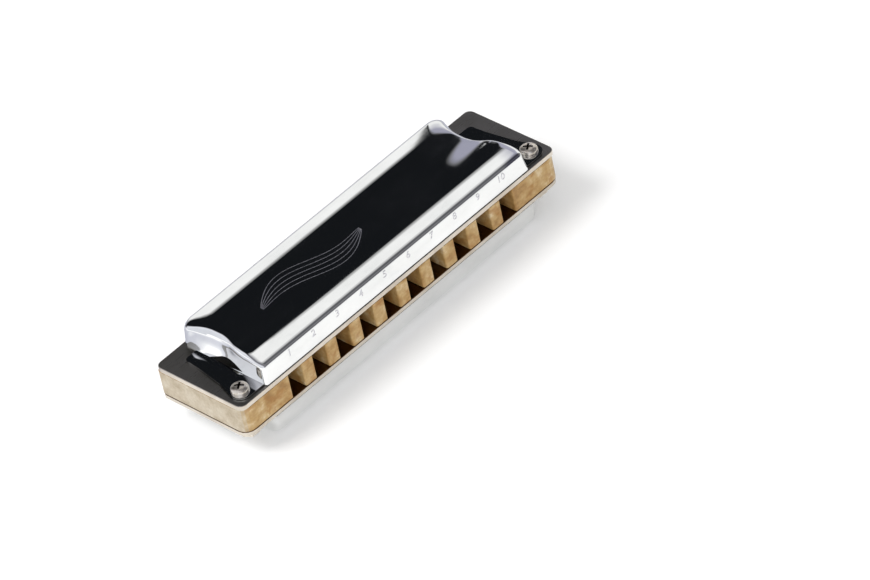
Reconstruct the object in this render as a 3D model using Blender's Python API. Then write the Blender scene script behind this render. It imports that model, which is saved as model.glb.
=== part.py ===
"""Ten-hole diatonic harmonica, modelled piece by piece.

A moulded wood-compound comb lies between two bronze reed plates. The upper plate
carries the ten blow reeds on its inner face, inside the chambers, and the lower
plate carries the ten draw reeds on its outer face. Every reed has its own rivet.
Five screws hold the plates to the comb, and two long screws with nuts clamp the
two pressed steel covers over the plates. Metres, +Z up, hole 1 at -X, mouth side
at -Y, resting on the lower cover.
"""
import math

import bmesh
import bpy

for item in list(bpy.data.objects):
    bpy.data.objects.remove(item, do_unlink=True)

# Driving dimensions

HOLES = 10
HOLE_PITCH = 0.0075
HOLE_WIDTH = 0.0040
COMB_END_BLOCK = 0.0145
BODY_LENGTH = (HOLES - 1) * HOLE_PITCH + HOLE_WIDTH + 2 * COMB_END_BLOCK
BODY_DEPTH = 0.0262
COMB_THICKNESS = 0.0062
COMB_FRONT_CORNER = 0.0026
COMB_REAR_CORNER = 0.0012
PLATE_THICKNESS = 0.0012
UPPER_PLATE_CORNERS = (0.0016, 0.0016)
LOWER_PLATE_CORNERS = (0.0028, 0.0014)
PLATE_EDGE_BREAK = 0.00025
SEAM = 0.00015

DIVIDER_ROUNDING = 0.00045
CHAMBER_CORNER = 0.0009
CHAMBER_END_CLEARANCE = 0.0005

REED_LONGEST = 0.0152
REED_SHORTEST = 0.0086
REED_ROOT_WIDTH = 0.0024
REED_WIDTH_STEP = 0.00003
REED_TIP_NARROWING = 0.0002
REED_PAD_WIDTH = 0.0030
REED_PAD_LENGTH = 0.0026
REED_PAD_THICKNESS = 0.00035
REED_BLADE_THICKNESS = 0.00022
REED_TIP_THICKNESS = 0.00025
REED_WEIGHT_THICKNESS = 0.00040
WEIGHTED_REEDS = 3
REED_GAP = 0.00015
REED_LIFT = 0.00012
SLOT_START = 0.0036

RIVET_SHANK = 0.0012
RIVET_HEAD = 0.0022
RIVET_HEAD_HEIGHT = 0.0005
RIVET_RECESS = 0.00005

COVER_HEIGHT = 0.0061
COVER_SHEET = 0.0005
COVER_FRONT_INSET = 0.00025
COVER_REAR_INSET = 0.0001
COVER_END_INSET = 0.0081
COVER_CROWN_FRONT = 0.0062
COVER_CROWN_REAR = 0.0056
COVER_FRONT_ROUND = 0.0005
COVER_FOOT_ROUND = 0.0030
COVER_SHOULDER_ROUND = 0.0046
WINDOW_HEIGHT = 0.0047
WINDOW_DEPTH = 0.0025
VENT_FRONT = 0.0077
VENT_REAR = 0.0179
VENT_RISE = 0.0026
VENT_REACH = 0.0032
VENT_CREST = 0.42
FLANGE_FRONT = 0.0009
FLANGE_REAR_INSET = 0.0047
FLANGE_NARROW = 0.0036
FLANGE_SWELL = 0.0014
FLANGE_CORNER = 0.0010

COVER_SCREW_INSET = 0.00405
COVER_SCREW_DEPTH = 0.0041
COVER_SCREW_SHANK = 0.0022
COVER_SCREW_HEAD = 0.0044
COVER_SCREW_HEAD_HEIGHT = 0.0016
NUT_ACROSS_FLATS = 0.0040
NUT_HEIGHT = 0.0016

PLATE_SCREW_SHANK = 0.0017
PLATE_SCREW_HEAD = 0.0030
PLATE_SCREW_HEAD_HEIGHT = 0.0009
PLATE_SCREW_REAR_INSET = 0.0032
PLATE_SCREW_END_INSET = 0.0105
PLATE_SCREW_END_DEPTH = 0.0072
PLATE_SCREW_RECESS = 0.0002
SCREW_CLEARANCE = 0.0002

# Levels, from the table up

LOWER_PLATE_BASE = COVER_HEIGHT
COMB_BASE = LOWER_PLATE_BASE + PLATE_THICKNESS + SEAM
COMB_TOP = COMB_BASE + COMB_THICKNESS
UPPER_PLATE_BASE = COMB_TOP + SEAM
UPPER_PLATE_TOP = UPPER_PLATE_BASE + PLATE_THICKNESS
TOTAL_HEIGHT = UPPER_PLATE_TOP + COVER_HEIGHT
HALF = BODY_LENGTH / 2


def depth(distance):
    """Y of a point at a distance behind the front edge."""
    return distance - BODY_DEPTH / 2


def hole_x(number):
    """Centre of a hole, numbered 1 to 10 from the left."""
    return (number - (HOLES + 1) / 2) * HOLE_PITCH


def reed_length(number):
    """Free length of a reed, from the longest at hole 1 to the shortest."""
    share = (number - 1) / (HOLES - 1)
    return REED_LONGEST + (REED_SHORTEST - REED_LONGEST) * share


def reed_width(number):
    """Width of a reed at its root, a little less for each higher note."""
    return REED_ROOT_WIDTH - REED_WIDTH_STEP * (number - 1)


def chamber_length(number):
    """Depth of a chamber, long enough for its reed, pad and rivet."""
    return SLOT_START + reed_length(number) + REED_PAD_LENGTH + CHAMBER_END_CLEARANCE


# Materials

def make_material(name, colour, metallic, roughness):
    material = bpy.data.materials.new(name)
    material.use_nodes = True
    shader = material.node_tree.nodes["Principled BSDF"]
    shader.inputs["Base Color"].default_value = (*colour, 1.0)
    shader.inputs["Metallic"].default_value = metallic
    shader.inputs["Roughness"].default_value = roughness
    material.diffuse_color = (*colour, 1.0)
    return material


WOOD = make_material("wood_compound", (0.50, 0.37, 0.20), 0.0, 0.62)
BRONZE = make_material("bronze_plate", (0.66, 0.56, 0.46), 1.0, 0.30)
REED_METAL = make_material("bronze_reed", (0.80, 0.58, 0.30), 1.0, 0.28)
RIVET_METAL = make_material("brass_rivet", (0.83, 0.66, 0.33), 1.0, 0.30)
CHROME = make_material("polished_steel", (0.86, 0.86, 0.87), 1.0, 0.06)
NICKEL = make_material("nickel_screw", (0.78, 0.74, 0.66), 1.0, 0.18)


# Modelling helpers

def finish_object(name, bm, material, origin=(0.0, 0.0, 0.0), smooth=None, turn_out=True):
    """Turn a bmesh into a named object whose origin lies at a given point."""
    if turn_out:
        bmesh.ops.recalc_face_normals(bm, faces=bm.faces)
    bmesh.ops.translate(bm, verts=bm.verts, vec=[-c for c in origin])
    mesh = bpy.data.meshes.new(name)
    bm.to_mesh(mesh)
    bm.free()
    if smooth is not None:
        mesh.shade_smooth()
        mesh.set_sharp_from_angle(angle=math.radians(smooth))
    mesh.materials.append(material)
    thing = bpy.data.objects.new(name, mesh)
    thing.location = origin
    bpy.context.scene.collection.objects.link(thing)
    return thing


def arc(centre, radius, start, end, steps):
    """Points on an arc, angles in degrees."""
    points = []
    for step in range(steps + 1):
        angle = math.radians(start + (end - start) * step / steps)
        points.append((centre[0] + radius * math.cos(angle), centre[1] + radius * math.sin(angle)))
    return points


def circle(centre, diameter, steps):
    """A closed round outline."""
    return arc(centre, diameter / 2, 0, 360 * (steps - 1) / steps, steps - 1)


def rounded_box(half_x, half_y, front_radius, rear_radius, steps):
    """A closed rectangle with round corners, starting at the front left corner."""
    points = []
    for side, rear, start in ((-1, -1, 180), (1, -1, 270), (1, 1, 0), (-1, 1, 90)):
        radius = front_radius if rear < 0 else rear_radius
        centre = (side * (half_x - radius), rear * (half_y - radius))
        points += arc(centre, radius, start, start + 90, steps)
    return points


def sheet_with_holes(bm, loops, low, high):
    """Fill an outline and its holes, and extrude the face up to its thickness."""
    edges = []
    for loop in loops:
        verts = [bm.verts.new((x, y, low)) for x, y in loop]
        for index, vert in enumerate(verts):
            edges.append(bm.edges.new((vert, verts[(index + 1) % len(verts)])))
    filled = bmesh.ops.triangle_fill(bm, use_beauty=True, use_dissolve=False, edges=edges)
    faces = [face for face in filled["geom"] if isinstance(face, bmesh.types.BMFace)]
    raised = bmesh.ops.extrude_face_region(bm, geom=faces, use_keep_orig=True)
    top = [vert for vert in raised["geom"] if isinstance(vert, bmesh.types.BMVert)]
    bmesh.ops.translate(bm, verts=top, vec=(0.0, 0.0, high - low))
    return top


def turned(bm, profile, centre, steps):
    """Spin a profile of (radius, height) pairs round a vertical axis."""
    verts = [bm.verts.new((centre[0] + r, centre[1], z)) for r, z in profile]
    edges = [bm.edges.new(pair) for pair in zip(verts[:-1], verts[1:])]
    bmesh.ops.spin(bm, geom=verts + edges, cent=(*centre, 0.0), axis=(0.0, 0.0, 1.0),
                   angle=2 * math.pi, steps=steps, use_merge=True)
    bmesh.ops.remove_doubles(bm, verts=bm.verts, dist=1e-6)


def loft(bm, rings):
    """Join closed rings of equal length one above the other and cap both ends."""
    rows = [[bm.verts.new(point) for point in ring] for ring in rings]
    count = len(rows[0])
    for lower, upper in zip(rows[:-1], rows[1:]):
        for index in range(count):
            after = (index + 1) % count
            bm.faces.new((lower[index], lower[after], upper[after], upper[index]))
    bm.faces.new(rows[0])
    bm.faces.new(rows[-1])


def ramp(table, value):
    """Read a value from a short table of pairs, straight between its rows."""
    for (low, first), (high, second) in zip(table[:-1], table[1:]):
        if value <= high:
            return first + (second - first) * (value - low) / (high - low)
    return table[-1][1]


# Screw places, shared by the comb, the plates and the covers

COVER_SCREWS = [(side * (HALF - COVER_SCREW_INSET), depth(COVER_SCREW_DEPTH)) for side in (-1, 1)]
PLATE_SCREWS = [(side * (HALF - PLATE_SCREW_END_INSET), depth(PLATE_SCREW_END_DEPTH))
                for side in (-1, 1)]
PLATE_SCREWS += [(column * 3 * HOLE_PITCH, depth(BODY_DEPTH - PLATE_SCREW_REAR_INSET))
                 for column in (-1, 0, 1)]


def screw_holes():
    """Round outlines of the clearance holes for all seven screws."""
    outlines = [circle(c, COVER_SCREW_SHANK + 2 * SCREW_CLEARANCE, 16) for c in COVER_SCREWS]
    outlines += [circle(c, PLATE_SCREW_SHANK + 2 * SCREW_CLEARANCE, 12) for c in PLATE_SCREWS]
    return outlines


# Comb: one outline with ten chambers open at the mouth side

def comb_outline():
    radius = DIVIDER_ROUNDING
    front = depth(0.0)
    front_x = HALF - COMB_FRONT_CORNER
    front_y = depth(COMB_FRONT_CORNER)
    rear_x = HALF - COMB_REAR_CORNER
    rear_y = depth(BODY_DEPTH - COMB_REAR_CORNER)
    points = arc((-front_x, front_y), COMB_FRONT_CORNER, 180, 270, 5)
    for number in range(1, HOLES + 1):
        left = hole_x(number) - HOLE_WIDTH / 2
        right = hole_x(number) + HOLE_WIDTH / 2
        back = depth(chamber_length(number))
        points += arc((left - radius, front + radius), radius, 270, 360, 3)
        points += arc((left + CHAMBER_CORNER, back - CHAMBER_CORNER), CHAMBER_CORNER, 180, 90, 2)
        points += arc((right - CHAMBER_CORNER, back - CHAMBER_CORNER), CHAMBER_CORNER, 90, 0, 2)
        points += arc((right + radius, front + radius), radius, 180, 270, 3)
    points += arc((front_x, front_y), COMB_FRONT_CORNER, 270, 360, 5)
    points += arc((rear_x, rear_y), COMB_REAR_CORNER, 0, 90, 4)
    points += arc((-rear_x, rear_y), COMB_REAR_CORNER, 90, 180, 4)
    return points


bm = bmesh.new()
sheet_with_holes(bm, [comb_outline()] + screw_holes(), COMB_BASE, COMB_TOP)
finish_object("comb", bm, WOOD, smooth=35)


# Reed plates: slots graded with the reeds, rivet holes and screw holes

def reed_axis(number, blow):
    """Distance of a reed's rivet behind the front edge."""
    if blow:
        return SLOT_START + reed_length(number) + REED_PAD_LENGTH / 2
    return SLOT_START + REED_PAD_LENGTH / 2


def slot_outline(number, blow):
    half = reed_width(number) / 2 + REED_GAP
    root = reed_axis(number, blow) + REED_PAD_LENGTH / 2 * (-1 if blow else 1)
    tip = root + (reed_length(number) + REED_GAP) * (-1 if blow else 1)
    near = depth(min(root, tip))
    far = depth(max(root, tip))
    x = hole_x(number)
    return [(x - half, near), (x + half, near), (x + half, far), (x - half, far)]


def reed_plate(name, base, corners, blow):
    loops = [rounded_box(HALF, BODY_DEPTH / 2, *corners, 4)] + screw_holes()
    for number in range(1, HOLES + 1):
        loops.append(slot_outline(number, blow))
        centre = (hole_x(number), depth(reed_axis(number, blow)))
        loops.append(circle(centre, RIVET_SHANK + 2 * REED_GAP, 10))
    bm = bmesh.new()
    sheet_with_holes(bm, loops, base, base + PLATE_THICKNESS)
    outer = base + PLATE_THICKNESS if blow else base
    rim = [edge for edge in bm.edges
           if all(abs(v.co.z - outer) < 1e-7 for v in edge.verts)
           and all(on_outer_edge(v.co, corners) for v in edge.verts)
           and any(abs(face.normal.z) < 0.5 for face in edge.link_faces)]
    bmesh.ops.bevel(bm, geom=rim, offset=PLATE_EDGE_BREAK, segments=1, affect="EDGES",
                    clamp_overlap=True)
    return finish_object(name, bm, BRONZE, smooth=30)


def on_outer_edge(point, corners):
    """True on the plate's outline, by its distance from the rounded rectangle."""
    corner = corners[0] if point.y < 0 else corners[1]
    dx = max(abs(point.x) - (HALF - corner), 0.0)
    dy = max(abs(point.y) - (BODY_DEPTH / 2 - corner), 0.0)
    return math.hypot(dx, dy) > corner - 1e-6


reed_plate("upper_reed_plate", UPPER_PLATE_BASE, UPPER_PLATE_CORNERS, True)
reed_plate("lower_reed_plate", LOWER_PLATE_BASE, LOWER_PLATE_CORNERS, False)


# Reeds: a riveted pad and a graded tongue, each with its origin on its bending axis

TONGUE_SHARES = (0.0, 0.12, 0.70, 0.78, 1.0)


def tongue_thickness(number, along):
    """Thinnest in the middle of the tongue, with a weighted tip on the low notes."""
    tip = REED_WEIGHT_THICKNESS if number <= WEIGHTED_REEDS else REED_TIP_THICKNESS
    heights = (REED_PAD_THICKNESS, REED_BLADE_THICKNESS, REED_BLADE_THICKNESS, tip, tip)
    return ramp(list(zip(TONGUE_SHARES, heights)), along)


def reed(name, number, blow):
    towards = -1 if blow else 1
    x = hole_x(number)
    axis = depth(reed_axis(number, blow))
    free = reed_length(number)
    root = REED_PAD_LENGTH / 2
    right = [(REED_PAD_WIDTH / 2, -root), (REED_PAD_WIDTH / 2, root)]
    for along in TONGUE_SHARES:
        half = (reed_width(number) - REED_TIP_NARROWING * along) / 2
        right.append((half, root + free * along))
    outline = right + [(-px, py) for px, py in reversed(right)]
    face = UPPER_PLATE_BASE if blow else LOWER_PLATE_BASE
    seat = face - REED_LIFT
    loops = [[(x + px, axis + towards * py) for px, py in outline],
             circle((x, axis), RIVET_SHANK + 2 * REED_GAP, 10)]
    bm = bmesh.new()
    sheet_with_holes(bm, loops, seat, seat - REED_PAD_THICKNESS)
    for vert in bm.verts:
        along = (towards * (vert.co.y - axis) - root) / free
        if vert.co.z < seat - 1e-7 and along > 1e-6:
            vert.co.z = seat - tongue_thickness(number, along)
    middle = (x, axis, seat - REED_PAD_THICKNESS / 2)
    return finish_object(name, bm, REED_METAL, origin=middle)


def rivet(name, number, blow):
    """Domed head under the pad, and a shank through the pad and the plate."""
    face = UPPER_PLATE_BASE if blow else LOWER_PLATE_BASE
    under = face - 2 * REED_LIFT - REED_PAD_THICKNESS
    end = face + PLATE_THICKNESS - RIVET_RECESS
    head = RIVET_HEAD / 2
    shank = RIVET_SHANK / 2
    profile = [(0.0, under - RIVET_HEAD_HEIGHT), (head * 0.65, under - RIVET_HEAD_HEIGHT),
               (head, under - RIVET_HEAD_HEIGHT * 0.4), (head, under), (shank, under),
               (shank, end), (0.0, end)]
    bm = bmesh.new()
    turned(bm, profile, (hole_x(number), depth(reed_axis(number, blow))), 10)
    return finish_object(name, bm, RIVET_METAL, smooth=40)


for number in range(1, HOLES + 1):
    reed(f"blow_reed_{number:02d}", number, True)
    rivet(f"blow_rivet_{number:02d}", number, True)
    reed(f"draw_reed_{number:02d}", number, False)
    rivet(f"draw_rivet_{number:02d}", number, False)


# Covers: a pressed dome, shelled, open at the back, vented at both ends, with a
# flange at each end that carries its screw. Heights run from the plate's face.

FRONT_LINE = [(0.0, 0.0), (0.75, 0.03), (0.81, 0.05), (0.852, 0.11), (0.882, 0.20),
              (0.918, 0.38), (0.943, 0.53), (0.975, 0.72), (0.992, 0.85), (1.0, 1.0)]
REAR_LINE = [(0.0, 0.0), (0.77, 0.0), (0.85, 0.02), (0.90, 0.06), (0.93, 0.12),
             (0.958, 0.27), (0.978, 0.55), (0.992, 0.80), (1.0, 1.0)]
WALL_LINE = [(0.0, 0.0), (0.26, 0.20), (0.52, 0.45), (0.75, 0.68), (0.81, 0.76), (0.852, 0.84),
             (0.882, 0.92), (0.918, 1.00), (0.943, 1.07), (0.975, 1.20), (0.992, 1.38), (1.0, 1.60)]
WALL_LEAN_LINE = [(0.0, 0.0008), (0.13, 0.0006), (0.25, 0.0010), (0.36, 0.0017), (0.45, 0.0029),
                  (0.53, 0.0042), (0.63, 0.0045), (0.76, 0.0041), (0.86, 0.0036), (1.0, 0.0033)]
WINDOW_CURVE = [(0.0, 0.02), (0.0008, 0.20), (0.0018, 0.46), (0.0028, 0.68), (0.0040, 0.85),
                (0.0058, 0.97), (0.0076, 1.0)]
RING_LEVELS = (0.0, 0.26, 0.52, 0.75, 0.81, 0.852, 0.882, 0.918, 0.943, 0.975, 0.992, 1.0)

# Room for the cutters: how far they run past the sheet, and how far their faces keep apart
CUT_PAST = 0.0020
CUT_STAGGER = 0.0001
FOOT_SPARE = 0.0005
FLANGE_ROOT = 0.0030


def wall_lean(distance):
    """How far the end wall leans in by its shoulder, most behind the middle."""
    return ramp(WALL_LEAN_LINE, distance / BODY_DEPTH)


def cover_ring(level, inset):
    """Outline of the dome at a share of its height, drawn in by the inset."""
    front = COVER_FRONT_INSET + ramp(FRONT_LINE, level) * COVER_CROWN_FRONT + inset
    rear = BODY_DEPTH - COVER_REAR_INSET - ramp(REAR_LINE, level) * COVER_CROWN_REAR - inset
    lean = ramp(WALL_LINE, level)
    round_front = COVER_FRONT_ROUND
    growth = COVER_SHOULDER_ROUND - COVER_FOOT_ROUND
    round_rear = COVER_FOOT_ROUND + growth * min(level / 0.75, 1.0)

    def end_x(distance):
        return HALF - COVER_END_INSET - lean * wall_lean(distance) - inset

    right = [(0.0, front)]
    for step in range(3):
        angle = math.radians(30 + 30 * step)
        y = front + round_front * (1 - math.cos(angle))
        right.append((end_x(y) - round_front * (1 - math.sin(angle)), y))
    first = front + round_front * 1.6
    last = rear - round_rear
    for step in range(1, 10):
        y = first + (last - first) * step / 9
        right.append((end_x(y), y))
    for step in range(1, 7):
        angle = math.radians(15 * step)
        y = last + round_rear * math.sin(angle)
        right.append((end_x(y) - round_rear * (1 - math.cos(angle)), y))
    right.append((0.0, rear))
    left = [(-x, y) for x, y in reversed(right[1:-1])]
    return [(x, depth(y)) for x, y in right + left]


def flange_outline(side):
    """Flat tab at one end: narrow behind, swelling round the screw in front."""
    screw_x = HALF - COVER_SCREW_INSET
    reach = COVER_SCREW_DEPTH - FLANGE_FRONT - COVER_SCREW_SHANK / 4
    inner = HALF - COVER_END_INSET - FLANGE_ROOT
    waist = HALF - COVER_END_INSET + FLANGE_NARROW
    rear = BODY_DEPTH - FLANGE_REAR_INSET
    points = [(inner, FLANGE_FRONT)]
    points += arc((screw_x, FLANGE_FRONT + reach), reach, 270, 375, 7)
    for share in (0.40, 0.60, 0.80):
        y = COVER_SCREW_DEPTH + (rear - COVER_SCREW_DEPTH) * share
        sway = (1 + math.cos(math.pi * share)) / 2
        points.append((waist + (screw_x + FLANGE_SWELL - waist) * sway, y))
    points += arc((waist - FLANGE_CORNER, rear - FLANGE_CORNER), FLANGE_CORNER, 10, 90, 3)
    points.append((inner, rear))
    if side < 0:
        points = [(-x, y) for x, y in reversed(points)]
    return [(x, depth(y)) for x, y in points]


def window_outline():
    """Opening at the back, seen from behind: its lip sweeps down to the plate at each end."""
    foot = HALF - COVER_END_INSET
    right = [(foot + CUT_PAST, -CUT_PAST)]
    for inward, share in WINDOW_CURVE:
        right.append((foot - inward, WINDOW_HEIGHT * share))
    return right + [(-px, pz) for px, pz in reversed(right)]


def vent_outline():
    """Arch through the end wall, seen from the end: steep in front, long behind."""
    points = [(depth(VENT_FRONT), -CUT_PAST)]
    for step in range(11):
        share = (step / 10) ** 1.6
        rise = max(math.sin(math.pi * share ** VENT_CREST), 0.0)
        y = VENT_FRONT + (VENT_REAR - VENT_FRONT) * share
        points.append((depth(y), SEAM + CUT_STAGGER + VENT_RISE * rise))
    points.append((depth(VENT_REAR), -CUT_PAST))
    return points


def vent_floor_outline(side):
    """The part of the vent that runs on into the flange, seen from above."""
    foot = HALF - COVER_END_INSET
    inner = foot - 2 * COVER_SHEET
    front = VENT_FRONT + 3 * CUT_STAGGER
    rear = VENT_REAR - 3 * CUT_STAGGER
    points = [(inner, front)]
    for step in range(1, 9):
        share = step / 9
        reach = VENT_REACH * math.sin(math.pi * share) ** 0.7
        points.append((foot + reach, front + (rear - front) * share))
    points.append((inner, rear))
    if side < 0:
        points = [(-x, y) for x, y in reversed(points)]
    return [(x, depth(y)) for x, y in points]


def extruded(name, outline, place_low, place_high):
    """A cutter: an outline carried between two placing functions."""
    bm = bmesh.new()
    loft(bm, [[place_low(a, b) for a, b in outline], [place_high(a, b) for a, b in outline]])
    return finish_object(name, bm, CHROME)


def boolean(target, tool, operation):
    modifier = target.modifiers.new(tool.name, "BOOLEAN")
    modifier.operation = operation
    modifier.solver = "EXACT"
    modifier.object = tool
    tool.hide_render = True
    tool.display_type = "WIRE"


def cover_dome(name, inset, low, crown):
    """Closed dome from below the plate's face up to its crown."""
    bm = bmesh.new()
    rings = [[(x, y, low) for x, y in cover_ring(0.0, inset)]]
    for level in RING_LEVELS[1:]:
        height = SEAM + (crown - SEAM) * level
        rings.append([(x, y, height) for x, y in cover_ring(level, inset)])
    loft(bm, rings)
    bmesh.ops.triangulate(bm, faces=bm.faces)
    return finish_object(name, bm, CHROME)


def cover_shell():
    """Make the upper cover from a plate's face at height zero, ready to place."""
    shell = cover_dome("cover_shell", 0.0, -FOOT_SPARE, COVER_HEIGHT)
    tools = []
    for side, label in ((-1, "left"), (1, "right")):
        bm = bmesh.new()
        screw = circle((side * (HALF - COVER_SCREW_INSET), depth(COVER_SCREW_DEPTH)),
                       COVER_SCREW_SHANK + 2 * SCREW_CLEARANCE, 16)
        sheet_with_holes(bm, [flange_outline(side), screw], CUT_STAGGER - FOOT_SPARE, SEAM + COVER_SHEET)
        tools.append((finish_object(f"flange_{label}", bm, CHROME), "UNION"))
    hollow = cover_dome("hollow", COVER_SHEET, -2 * FOOT_SPARE, COVER_HEIGHT - COVER_SHEET)
    tools.append((hollow, "DIFFERENCE"))
    window = extruded("window", window_outline(),
                      lambda x, z: (x, depth(BODY_DEPTH - WINDOW_DEPTH), z),
                      lambda x, z: (x, depth(BODY_DEPTH + CUT_PAST), z))
    tools.append((window, "DIFFERENCE"))
    for side, label in ((-1, "left"), (1, "right")):
        vent = extruded(f"vent_{label}", vent_outline(),
                        lambda y, z, s=side: (s * (HALF - COVER_END_INSET - 3 * CUT_PAST), y, z),
                        lambda y, z, s=side: (s * (HALF - COVER_END_INSET + COVER_SHEET), y, z))
        floor = extruded(f"vent_floor_{label}", vent_floor_outline(side),
                         lambda x, y: (x, y, -1.5 * CUT_PAST),
                         lambda x, y: (x, y, SEAM + 3 * COVER_SHEET))
        tools += [(vent, "DIFFERENCE"), (floor, "DIFFERENCE")]
    below = [(-BODY_LENGTH, -BODY_DEPTH), (BODY_LENGTH, -BODY_DEPTH),
             (BODY_LENGTH, BODY_DEPTH), (-BODY_LENGTH, BODY_DEPTH)]
    below = extruded("below", below, lambda x, y: (x, y, -2 * CUT_PAST), lambda x, y: (x, y, SEAM))
    tools.append((below, "DIFFERENCE"))
    for tool, operation in tools:
        boolean(shell, tool, operation)
    bpy.context.view_layer.update()
    mesh = bpy.data.meshes.new_from_object(shell.evaluated_get(bpy.context.evaluated_depsgraph_get()))
    for thing in [shell] + [tool for tool, operation in tools]:
        bpy.data.objects.remove(thing, do_unlink=True)
    return mesh


def cover(name, source, upper):
    bm = bmesh.new()
    bm.from_mesh(source)
    for vert in bm.verts:
        if upper:
            vert.co.z = UPPER_PLATE_TOP + vert.co.z
        else:
            vert.co.z = LOWER_PLATE_BASE - vert.co.z
    if not upper:
        bmesh.ops.reverse_faces(bm, faces=bm.faces)
    return finish_object(name, bm, CHROME, smooth=28, turn_out=False)


pressing = cover_shell()
cover("upper_cover", pressing, True)
cover("lower_cover", pressing, False)


# Cover screws and nuts: pan head on the upper flange, hexagon nut under the lower one

FLANGE_TOP = UPPER_PLATE_TOP + SEAM + COVER_SHEET
FLANGE_BOTTOM = LOWER_PLATE_BASE - SEAM - COVER_SHEET


def turned_screw(name, centre, seat, end, head, head_height, shank, steps):
    crown = seat + head_height
    profile = [(0.0, crown), (head * 0.28, crown - head_height * 0.07),
               (head * 0.43, crown - head_height * 0.32), (head * 0.5, crown - head_height * 0.7),
               (head * 0.5, seat), (shank / 2, seat), (shank / 2, end), (0.0, end)]
    bm = bmesh.new()
    turned(bm, profile, centre, steps)
    return finish_object(name, bm, NICKEL, smooth=40)


def nut(name, centre, top):
    across = NUT_ACROSS_FLATS / math.sqrt(3)
    outline = arc(centre, across, 0, 300, 5)
    bore = circle(centre, COVER_SCREW_SHANK + 2 * SCREW_CLEARANCE, 16)
    bm = bmesh.new()
    sheet_with_holes(bm, [outline, bore], top - NUT_HEIGHT, top)
    return finish_object(name, bm, NICKEL, smooth=30)


NUT_TOP = FLANGE_BOTTOM - SEAM
for label, centre in zip(("left", "right"), COVER_SCREWS):
    turned_screw(f"cover_screw_{label}", centre, FLANGE_TOP + SEAM, NUT_TOP - NUT_HEIGHT,
                 COVER_SCREW_HEAD, COVER_SCREW_HEAD_HEIGHT, COVER_SCREW_SHANK, 16)
    nut(f"cover_nut_{label}", centre, NUT_TOP)


# Reed plate screws: heads on the upper plate, ends in the lower plate

for number, centre in enumerate(PLATE_SCREWS, start=1):
    turned_screw(f"plate_screw_{number}", centre, UPPER_PLATE_TOP + SEAM,
                 LOWER_PLATE_BASE + PLATE_SCREW_RECESS, PLATE_SCREW_HEAD, PLATE_SCREW_HEAD_HEIGHT,
                 PLATE_SCREW_SHANK, 12)
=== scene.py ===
import math

import bmesh
import bpy
from mathutils import Matrix, Vector


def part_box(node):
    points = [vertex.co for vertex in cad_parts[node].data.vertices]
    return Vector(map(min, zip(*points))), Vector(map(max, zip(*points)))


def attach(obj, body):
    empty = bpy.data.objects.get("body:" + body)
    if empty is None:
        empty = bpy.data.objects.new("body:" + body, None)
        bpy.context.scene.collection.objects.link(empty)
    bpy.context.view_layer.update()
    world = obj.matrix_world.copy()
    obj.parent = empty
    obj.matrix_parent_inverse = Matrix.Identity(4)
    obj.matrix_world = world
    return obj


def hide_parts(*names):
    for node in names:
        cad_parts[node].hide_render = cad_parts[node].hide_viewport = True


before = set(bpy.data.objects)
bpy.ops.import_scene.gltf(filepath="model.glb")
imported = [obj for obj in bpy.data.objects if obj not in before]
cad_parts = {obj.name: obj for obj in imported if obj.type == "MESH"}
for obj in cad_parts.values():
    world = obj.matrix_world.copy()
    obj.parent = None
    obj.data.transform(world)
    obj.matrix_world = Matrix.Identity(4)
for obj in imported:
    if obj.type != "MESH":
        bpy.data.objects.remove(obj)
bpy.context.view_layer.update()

BODY = "harmonica_body"


# Studio
# A white sweep on the table, a dark card hung behind the instrument for the polished
# tops to mirror, a grey horizon and two large soft lamps. It isn't part of the object.

def linear(code):
    """Turn a #RRGGBB colour into the linear values that a shader takes."""
    channels = [int(code[start:start + 2], 16) / 255 for start in (1, 3, 5)]
    return tuple(c / 12.92 if c <= 0.04045 else ((c + 0.055) / 1.055) ** 2.4
                 for c in channels) + (1.0,)


def node(tree, kind, settings=None, **links):
    """Add one node, set its properties and sockets, and link its inputs. A number among the
    settings is an input's place, and so is the number in a link's name such as _0."""
    made = tree.nodes.new(kind)
    for name, value in (settings or {}).items():
        if name == "stops":
            elements = made.color_ramp.elements
            while len(elements) < len(value):
                elements.new(0.5)
            for element, (place, colour) in zip(elements, value):
                element.position = place
                is_hex = isinstance(colour, str)
                element.color = linear(colour) if is_hex else (colour,) * 3 + (1.0,)
        elif isinstance(name, int) or name in made.inputs:
            made.inputs[name].default_value = value
        else:
            setattr(made, name, value)
    for name, source in links.items():
        key = int(name[1:]) if name[1:].isdigit() else name.replace("_", " ")
        tree.links.new(source, made.inputs[key])
    return made


scene = bpy.context.scene
scene.view_settings.view_transform = "Standard"

# The camera was fitted to edges and holes of the photograph. Its axes point to the right,
# up and back.
camera = bpy.data.cameras.new("camera")
camera.lens = 298.7
camera.sensor_width = 36.0
camera.clip_start = 0.1
camera.clip_end = 20.0
camera_object = bpy.data.objects.new("camera", camera)
scene.collection.objects.link(camera_object)
camera_axes = (Vector((0.67186, -0.72095, -0.16978)), Vector((0.55985, 0.34423, 0.75371)),
               Vector((-0.48495, -0.60144, 0.63490)))
camera_object.matrix_world = (Matrix.Translation((-0.7519, -0.9562, 1.0004))
                              @ Matrix(camera_axes).transposed().to_4x4())
scene.camera = camera_object

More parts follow.
